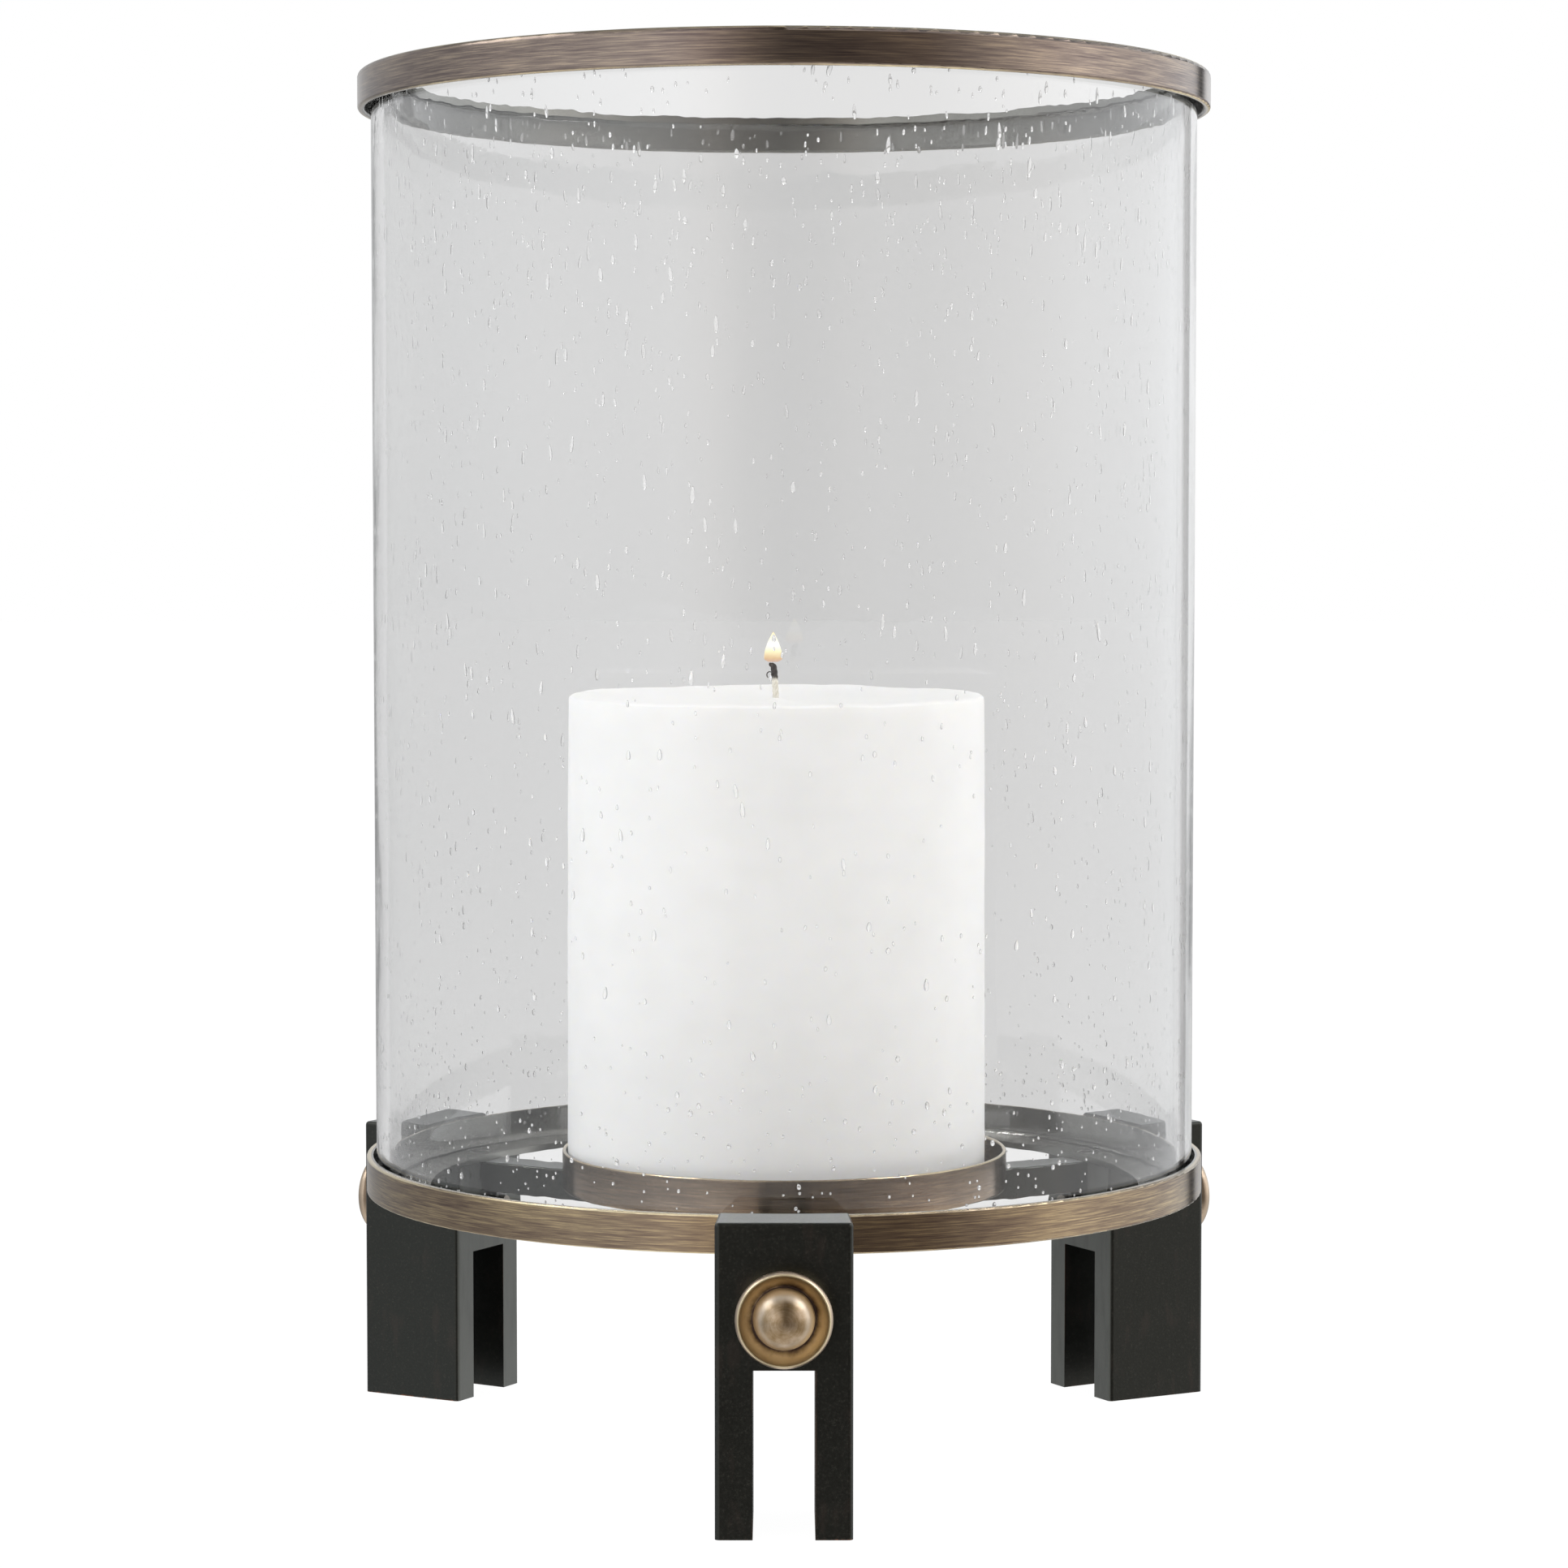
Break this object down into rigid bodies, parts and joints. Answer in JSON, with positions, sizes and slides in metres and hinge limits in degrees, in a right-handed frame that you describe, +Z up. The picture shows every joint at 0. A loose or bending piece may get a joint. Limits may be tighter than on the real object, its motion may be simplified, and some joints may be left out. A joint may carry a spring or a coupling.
{
  "type": "pillar candle holder",
  "caption": "Pillar candle holder: seeded glass cylinder with a brass rim in a brass ring on forked black legs, with a candle in a shallow cup.",
  "frame": {"origin": "on the holder's vertical axis, in the plane of the soles that it stands on", "axes": "+Z up along the axis of the glass; the front leg points along -Y and +X is to the viewer's right"},
  "size_m": [0.276, 0.2863, 0.4144],
  "materials": {
    "antique_brass": "brushed antique brass with brown patina",
    "patinated_brass": "satin antique brass, dark in the recesses",
    "black_iron": "matte black, fine speckle",
    "dark_steel": "dull zinc",
    "seeded_glass": "clear, seeded with small bubbles",
    "candle_wax": "smooth white wax, satin",
    "wick_cotton": "charred cotton",
    "flame": "stands in for the candle's flame, self-lit"
  },
  "bodies": {
    "base": {"base_ring": "antique_brass", "ring_screws": "dark_steel", "spider_frame": "black_iron", "candle_cup": "antique_brass", "cup_screw": "dark_steel", "hex_nuts": "dark_steel", "leg_front": "black_iron", "leg_rear_left": "black_iron", "leg_rear_right": "black_iron", "rosette_front": "patinated_brass", "rosette_rear_left": "patinated_brass", "rosette_rear_right": "patinated_brass", "dome_bolt_front": "patinated_brass", "dome_bolt_rear_left": "patinated_brass", "dome_bolt_rear_right": "patinated_brass"},
    "shade": {"glass_cylinder": "seeded_glass", "rim_ring": "antique_brass"},
    "candle": {"candle_wax": "candle_wax", "wick": "wick_cotton"}
  },
  "joints": [
    {"name": "shade_lift", "type": "slide", "parent": "base", "child": "shade", "axis": [0, 0, 1], "range_m": [0, 0.18]},
    {"name": "candle_lift", "type": "slide", "parent": "base", "child": "candle", "axis": [0, 0, 1], "range_m": [0, 0.35]}
  ]
}
